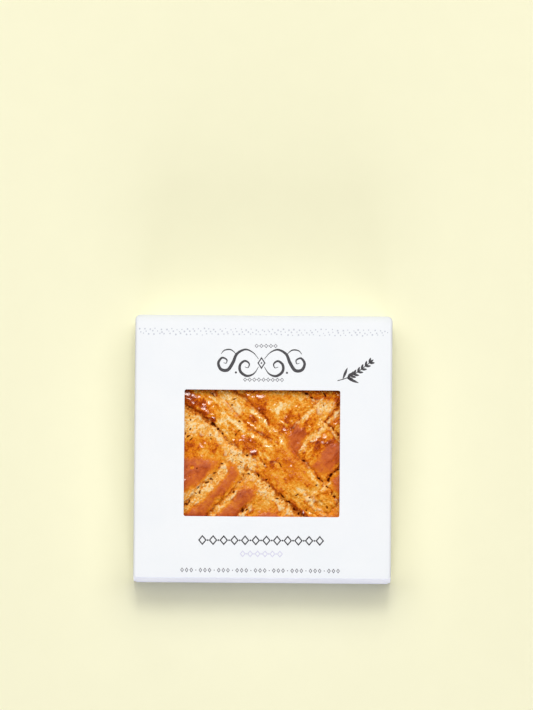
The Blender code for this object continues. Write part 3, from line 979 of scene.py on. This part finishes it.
def surface_noises(u, v):
    made = {name: named_noise(u, v, name) for name in ("lumps", "crags", "fine", "clouds")}
    shift = 0.4 * made["crags"]
    made["crumbs"] = crumb_field(u + shift, v + shift, *CRUMBS)
    made["grain"] = crumb_field(u, v, *GRAIN)
    made["drag"], made["flakes"] = dragged_dough(u, v)
    return made


def blend(noises, mix):
    return sum(share * noises[name] for name, share in mix.items())


def glazed_places(u, v, ragged):
    """How far each place is under thick glaze, and under thin glaze."""
    thick = patches(*ragged, GLAZE_PATCHES, GLAZE_SOFTNESS)
    thick *= 1 - spots(u, v, GLAZE_GAPS, 2.2, 0.5)
    return thick, patches(*ragged, THIN_GLAZE_PATCHES, THIN_GLAZE_SOFTNESS)


def baked_tone(noises, rough, bank, shade, glaze, thin_glaze, sheen):
    """How brown each place is: the crust, then the thin glaze on it, then the thick."""
    lumps = noises["lumps"]
    mottle = blend(noises, MOTTLE_MIX)
    # Painted shade: the crust is browner on the banks beside the marks.
    tone = CRUST_TONE + 0.10 * lumps + 0.18 * noises["clouds"] + rough * mottle + 0.22 * bank
    tone += shade + 0.14 * glaze * (1 - glaze)
    orange = THIN_GLAZE_TONE + 0.08 * lumps + 0.5 * mottle + 0.5 * shade
    tone = mixed(tone, orange, 0.6 * thin_glaze)
    tone = np.where(tone > DARK_START, DARK_START + DARK_SHARE * (tone - DARK_START), tone)
    brown = GLAZE_TONE + blend(noises, GLAZE_MIX) + 0.4 * shade
    return mixed(tone, brown, 0.95 * sheen)


def dark_holes(u, v, ragged, cracks, torn, rough, sheen):
    """How deep the cracks, the holes and the specks among the crumbs are, and how dark they are
    painted as shade in these hollows.
    """
    holes = np.maximum(0.75 * cracks * (1 - 0.9 * sheen), spots(*ragged, HOLES, 1.8, 0.35))
    specks = smooth((0.07 - np.abs(named_noise(u, v, "speck_lines"))) * 22)
    specks *= smooth(named_noise(u, v, "speck_areas") * 3.0 - 0.5)
    return np.maximum(holes, 0.6 * specks * np.clip(torn + 0.15, 0, 1) * rough)


def crust(u, v):
    """The crust at each place: relief in mm and, from 0 to 1, its tone (1 is darkest), gloss,
    holes, torn crumb, how high each crumb stands (which sets the crumb's painted light and shade),
    and glaze."""
    ragged = (
        u + RAGGED_SHIFT * named_noise(u, v, "ragged_x"),
        v + RAGGED_SHIFT * named_noise(u, v, "ragged_y"),
    )
    noises = surface_noises(u, v)
    depth, torn, bank, cracks = fork_marks(*ragged)
    torn = np.maximum(torn, 0.8 * patches(*ragged, TORN_PATCHES, TORN_SOFTNESS))
    glaze, thin_glaze = glazed_places(u, v, ragged)
    torn *= (1 - smooth(2.2 * glaze - 0.15)) * (1 - 0.8 * thin_glaze)
    sheen = smooth(1.3 * glaze - 0.14)
    rough = (1 - 0.9 * sheen) * (1 - 0.6 * thin_glaze)
    blistered, height = blisters(*ragged)
    ridge, shade = ridges_and_channels(*ragged)
    for *place, change in TONES:
        shade += change * spot(*ragged, *place)

    relief = LUMP_RISE * noises["lumps"] - depth + GLAZE_RISE * glaze
    relief += rough * blend(noises, RELIEF_MIX)
    wet, relief = wet_places(*ragged, relief + height + ridge)
    rough *= 1 - 0.8 * wet
    # The crest paints the torn crumb paler on its tops and darker in its hollows and on the banks:
    # painted light and painted shade.
    crest = 0.62 + blend(noises, CREST_MIX) - 0.22 * bank
    torn = 0.85 * smooth(1.25 * torn - 0.12 + 1.1 * (crest - 0.6) * torn)
    tone = baked_tone(noises, rough, bank * (1 - torn), shade, glaze, thin_glaze, sheen)
    holes = dark_holes(u, v, ragged, cracks, torn, rough, sheen)
    gloss = 0.03 + 0.07 * sheen + 0.07 * thin_glaze + 0.12 * np.clip(tone - 0.62, 0, 1)
    gloss = np.maximum(gloss, smooth(1.7 * wet - 0.6)) * (1 - 0.85 * torn) * (1 - holes)
    fields = {
        "tone": mixed(tone, BLISTER_TONE + 0.1 * noises["fine"], blistered),
        "gloss": np.maximum(gloss, 0.1 * blistered),
        "holes": holes,
        "torn": torn * (1 - blistered),
        "crest": crest - 0.8 * shade,
        "glaze": sheen,
    }
    shares = {name: np.clip(field, 0, 1) for name, field in fields.items()}
    return relief - HOLE_DEPTH * holes, shares


def spaced_lines(reach, fine_low, fine_high):
    """Grid lines from -reach to reach in mm, close together under the window."""
    runs = (
        (-reach, fine_low, COARSE_STEP),
        (fine_low, fine_high, FINE_STEP),
        (fine_high, reach, COARSE_STEP),
    )
    lines = [np.linspace(a, b, round((b - a) / step), endpoint=False) for a, b, step in runs]
    return np.append(np.concatenate(lines), reach)


def grid_faces(columns, rows):
    index = np.arange(columns * rows).reshape(rows, columns)
    corners = (index[:-1, :-1], index[:-1, 1:], index[1:, 1:], index[1:, :-1])
    return np.stack(corners, axis=-1).reshape(-1, 4).tolist()


def round_corners(x, y, half_x, half_y):
    """Pulls the square grid's corners in to the cake's round corners."""
    over_x, over_y = np.abs(x) - half_x + CAKE_CORNER, np.abs(y) - half_y + CAKE_CORNER
    pull = 1 - np.maximum(over_x, over_y) / np.hypot(over_x, over_y)
    pull = np.where((over_x > 0) & (over_y > 0), pull, 0.0)
    return x - np.sign(x) * over_x * pull, y - np.sign(y) * over_y * pull


def make_cake():
    half_x, half_y = CAKE_HIGH.x / MM, CAKE_HIGH.y / MM
    middle_x, middle_y = WINDOW_MIDDLE[0] / MM, WINDOW_MIDDLE[1] / MM
    fine_x, fine_y = (size / MM / 2 + FINE_MARGIN for size in WINDOW_SIZE)
    columns = spaced_lines(half_x, middle_x - fine_x, middle_x + fine_x)
    rows = spaced_lines(half_y, middle_y - fine_y, middle_y + fine_y)
    x, y = (lines.ravel() for lines in np.meshgrid(columns, rows))
    inset = np.minimum(half_x - np.abs(x), half_y - np.abs(y))
    x, y = round_corners(x, y, half_x, half_y)
    relief, shares = crust(x - middle_x, y - middle_y - PARALLAX)
    short = np.clip(1.0 - inset / EDGE_ROUND, 0, 1)
    height = TOP_LEVEL + relief * (1 - short) - EDGE_DROP * short**2
    places = np.column_stack((x, y, height)) * MM
    mesh = bpy.data.meshes.new("cake_crust")
    mesh.from_pydata(places.tolist(), [], grid_faces(len(columns), len(rows)))
    with editing(mesh) as bm:
        draw_sides(bm)
    add_looks(mesh, shares)
    mesh.shade_smooth()
    cake = link("cake_crust", mesh)
    mesh.materials.append(cake_material())
    return cake


def add_looks(mesh, shares):
    """Gives each point of the crust and of the sides its looks, for the material."""
    for name, side_value in SIDE_SHARES.items():
        sides = np.full(len(mesh.vertices) - len(shares[name]), side_value)
        values = np.concatenate((shares[name], sides)).astype(np.float32)
        mesh.attributes.new(name, "FLOAT", "POINT").data.foreach_set("value", values)


def draw_sides(bm):
    """Draws the rim down to the foot in rows, a little rough, and closes the underside."""
    floor = CAKE_LOW.z
    rim = [edge for edge in bm.edges if edge.is_boundary]
    for row in range(SIDE_ROWS):
        drawn = bmesh.ops.extrude_edge_only(bm, edges=rim)["geom"]
        rim = [g for g in drawn if isinstance(g, bmesh.types.BMEdge)]
        for vert in (g for g in drawn if isinstance(g, bmesh.types.BMVert)):
            vert.co.z += (floor - vert.co.z) / (SIDE_ROWS - row)
            inward = SIDE_DRAFT / SIDE_ROWS
            if row < SIDE_ROWS - 1:
                inward += SIDE_ROUGHNESS * max(0.0, noise.noise(vert.co / (SIDE_LUMP * MM)))
            flat = Vector((vert.co.x, vert.co.y, 0))
            vert.co -= flat.normalized() * inward * MM
    bmesh.ops.edgeloop_fill(bm, edges=rim)
    bmesh.ops.recalc_face_normals(bm, faces=bm.faces[:])


# Materials.


def feed(tree, target, sockets):
    """Fills the target's sockets, each with a value or with another node's output."""
    for name, value in sockets.items():
        if isinstance(value, bpy.types.NodeSocket):
            tree.links.new(value, target.inputs[name])
        else:
            target.inputs[name].default_value = value


def new_material(name):
    made = bpy.data.materials.new(name)
    made.use_nodes = True
    return made, made.node_tree


def finished(made, sockets):
    """The material, with its shader's sockets filled."""
    feed(made.node_tree, made.node_tree.nodes["Principled BSDF"], sockets)
    return made


def node(tree, kind, sockets, output, **settings):
    """The output of a new node of the kind."""
    made = tree.nodes.new("ShaderNode" + kind)
    for name, value in settings.items():
        setattr(made, name, value)
    feed(tree, made, sockets)
    return made.outputs[output]


def noise_node(tree, scale, detail=2.0):
    place = node(tree, "TexCoord", {}, "Object")
    return node(tree, "TexNoise", {"Scale": scale, "Detail": detail, "Vector": place}, "Fac")


def math_node(tree, operation, *values, clamp=False):
    sockets = dict(enumerate(values))
    return node(tree, "Math", sockets, 0, operation=operation, use_clamp=clamp)


def mix_node(tree, share, first, second, blend_type="MIX"):
    sockets = {0: share, 6: first, 7: second}
    return node(tree, "Mix", sockets, 2, data_type="RGBA", blend_type=blend_type)


def bump_node(tree, height, strength, distance):
    sockets = {"Strength": strength, "Distance": distance, "Height": height}
    return node(tree, "Bump", sockets, "Normal")


def range_node(tree, value, low, high):
    return node(tree, "MapRange", {"Value": value, "To Min": low, "To Max": high}, "Result")


def ramp_node(tree, source, stops):
    made = tree.nodes.new("ShaderNodeValToRGB")
    elements = made.color_ramp.elements
    while len(elements) < len(stops):
        elements.new(0.5)
    for element, (place, colour) in zip(elements, stops):
        element.position = place
        element.color = (*colour, 1.0)
    feed(tree, made, {"Fac": source})
    return made.outputs["Color"]


def scale_node(tree, source, scale):
    """A ramp through colours of 0 to 255."""
    return ramp_node(tree, source, [(place, linear(colour)) for place, colour in scale])


def card_material():
    """White coated board: a smooth, slightly uneven varnish over fine fibre. Its ends and sides
    are painted greyer and more lavender than its front, as painted shade by which way each faces."""
    made, tree = new_material("carton_card")
    cloud = noise_node(tree, 45.0, 3.0)
    fibre = noise_node(tree, 2500.0)
    facing = node(tree, "TexCoord", {}, "Normal")
    lengthwise = node(tree, "SeparateXYZ", {0: facing}, "Y")
    crosswise = node(tree, "SeparateXYZ", {0: facing}, "X")
    # Painted shade: the ends and sides are darker than the front, the near end also more lavender.
    ends = ramp_node(tree, math_node(tree, "MULTIPLY_ADD", lengthwise, 0.5, 0.5), END_PAINTED_SHADE)
    sides = ramp_node(tree, math_node(tree, "ABSOLUTE", crosswise), SIDE_PAINTED_SHADE)
    colour = mix_node(tree, 1.0, scale_node(tree, cloud, CARD_SCALE), ends, "MULTIPLY")
    return finished(made, {
        "Base Color": mix_node(tree, 1.0, colour, sides, "MULTIPLY"),
        "Roughness": range_node(tree, cloud, 0.42, 0.54),
        "Specular IOR Level": 0.35,
        "Normal": bump_node(tree, fibre, 0.12, 0.02 * MM),
    })


def cut_edge_material():
    """The cut edge of the board: matt grey-white pulp in fine layers."""
    made, tree = new_material("carton_cut_edge")
    pulp = noise_node(tree, 1800.0, 3.0)
    return finished(made, {
        "Base Color": scale_node(tree, pulp, CUT_EDGE_SCALE),
        "Roughness": 0.85,
        "Normal": bump_node(tree, pulp, 0.3, 0.05 * MM),
    })


def ink_material(name, ink):
    made, tree = new_material(name)
    grain = noise_node(tree, 1500.0)
    lighter = tuple(min(255, part + INK_SPREAD) for part in ink)
    return finished(made, {
        "Base Color": scale_node(tree, grain, ((0.35, ink), (0.65, lighter))),
        "Roughness": range_node(tree, grain, 0.35, 0.5),
    })


def shifted(tree, value, wobble, amount):
    """The value, moved up and down by a noise."""
    shift = math_node(tree, "MULTIPLY", math_node(tree, "SUBTRACT", wobble, 0.5), amount)
    return math_node(tree, "ADD", value, shift, clamp=True)


def cake_material():
    """Baked crust in tones from gold to brown, torn crumb painted paler on its tops and darker
    in its hollows as light and shade, holes painted dark as shade, and a coat of egg glaze.
    """
    made, tree = new_material("cake_crust")
    fine = noise_node(tree, 2000.0, 3.0)
    shares = {
        name: node(tree, "Attribute", {}, "Fac", attribute_name=name) for name in SIDE_SHARES
    }
    colour = scale_node(tree, shifted(tree, shares["tone"], fine, 0.6), CRUST_SCALE)
    # The crumb's colour follows its crest: painted light on the tops, painted shade in the
    # hollows.
    covers = (("glaze", "tone", 0.2, GLAZE_SCALE), ("torn", "crest", 0.85, CRUMB_SCALE))
    for cover, level, wobble, scale in covers:
        above = scale_node(tree, shifted(tree, shares[level], fine, wobble), scale)
        colour = mix_node(tree, shares[cover], colour, above)
    # Painted shade: the cracks, holes and specks are darkened by how deep they are.
    hole_shade = ramp_node(tree, shares["holes"], HOLE_PAINTED_SHADE)
    return finished(made, {
        "Base Color": mix_node(tree, 1.0, colour, hole_shade, "MULTIPLY"),
        "Roughness": range_node(tree, fine, 0.55, 0.75),
        "Specular IOR Level": 0.03,
        "Coat Weight": shares["gloss"],
        "Coat Roughness": 0.13,
        "Coat IOR": 1.7,
        "Normal": bump_node(tree, fine, 0.8, 0.2 * MM),
    })


def floor_material():
    made, tree = new_material("floor_paper")
    colour = scale_node(tree, noise_node(tree, 60.0), FLOOR_SCALE)
    return finished(made, {"Base Color": colour, "Roughness": 0.9, "Specular IOR Level": 0.1})


# The stage, the lights and the camera.

FLOOR_REACH = 6.0
# Area lights, aimed at the middle of the floor: name, watts, size, place and colour.
LIGHTS = (
    ("key_softbox", 131.0, (5.6, 3.2), (0.0, 1.716, 3.613), (1.0, 0.99, 0.98)),
    ("key_core", 30.0, (1.0, 1.0), (0.0, 1.69, 3.63), (1.0, 0.99, 0.97)),
    ("front_fill", 33.0, (1.1, 1.1), (0.0, -2.05, 0.30), (0.84, 0.86, 1.0)),
    ("back_fill", 7.0, (1.2, 1.2), (0.0, 2.1, 1.2), (1.0, 1.0, 1.0)),
)
SKY = (0.98, 0.99, 1.0)
SKY_STRENGTH = 0.13


def make_floor():
    floor = link("floor", bpy.data.meshes.new("floor"))
    with editing(floor.data) as bm:
        bmesh.ops.create_grid(bm, x_segments=1, y_segments=1, size=FLOOR_REACH)
    floor.data.materials.append(floor_material())
    floor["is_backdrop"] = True


def make_lights():
    for name, watts, size, place, colour in LIGHTS:
        light = bpy.data.lights.new(name, "AREA")
        light.shape = "RECTANGLE"
        light.size, light.size_y = size
        light.energy = watts
        light.color = colour
        made = link(name, light)
        made.location = place
        made.rotation_euler = (-Vector(place)).to_track_quat("-Z", "Y").to_euler()
    world = bpy.data.worlds.new("studio")
    world.use_nodes = True
    background = world.node_tree.nodes["Background"]
    background.inputs["Color"].default_value = (*SKY, 1.0)
    background.inputs["Strength"].default_value = SKY_STRENGTH
    bpy.context.scene.world = world


CAMERA_DISTANCE = 6.0
CAMERA_TILT = 5.9
CAMERA_ROLL = 0.45
SENSOR = 36.0
CLIP_END = 50.0
FRAME_HEIGHT = 0.3588
FRAME_MIDDLE = (0.0014, 0.0464)


def make_camera():
    camera = bpy.data.cameras.new("camera")
    camera.sensor_width = SENSOR
    camera.sensor_fit = "AUTO"
    camera.lens = SENSOR * CAMERA_DISTANCE / FRAME_HEIGHT
    camera.clip_end = CLIP_END
    made = link("camera", camera)
    tilt = math.radians(CAMERA_TILT)
    aim = Vector((*FRAME_MIDDLE, TOP))
    place = aim + CAMERA_DISTANCE * Vector((0, -math.sin(tilt), math.cos(tilt)))
    turned = Matrix.Rotation(tilt, 4, "X") @ Matrix.Rotation(math.radians(CAMERA_ROLL), 4, "Z")
    made.matrix_world = Matrix.Translation(place) @ turned
    bpy.context.scene.camera = made


def main():
    bpy.context.scene.view_settings.view_transform = "Standard"
    carton = make_carton()
    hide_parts("carton")
    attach(carton, "root")
    cake = make_cake()
    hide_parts("cake")
    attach(cake, "root")
    for piece in make_print():
        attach(piece, "root")
    make_floor()
    make_lights()
    make_camera()


main()
sizes = {"cad": CAD_BOX, "visual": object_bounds()}
sizes = {name: [[float(v) for v in corner] for corner in box] for name, box in sizes.items()}
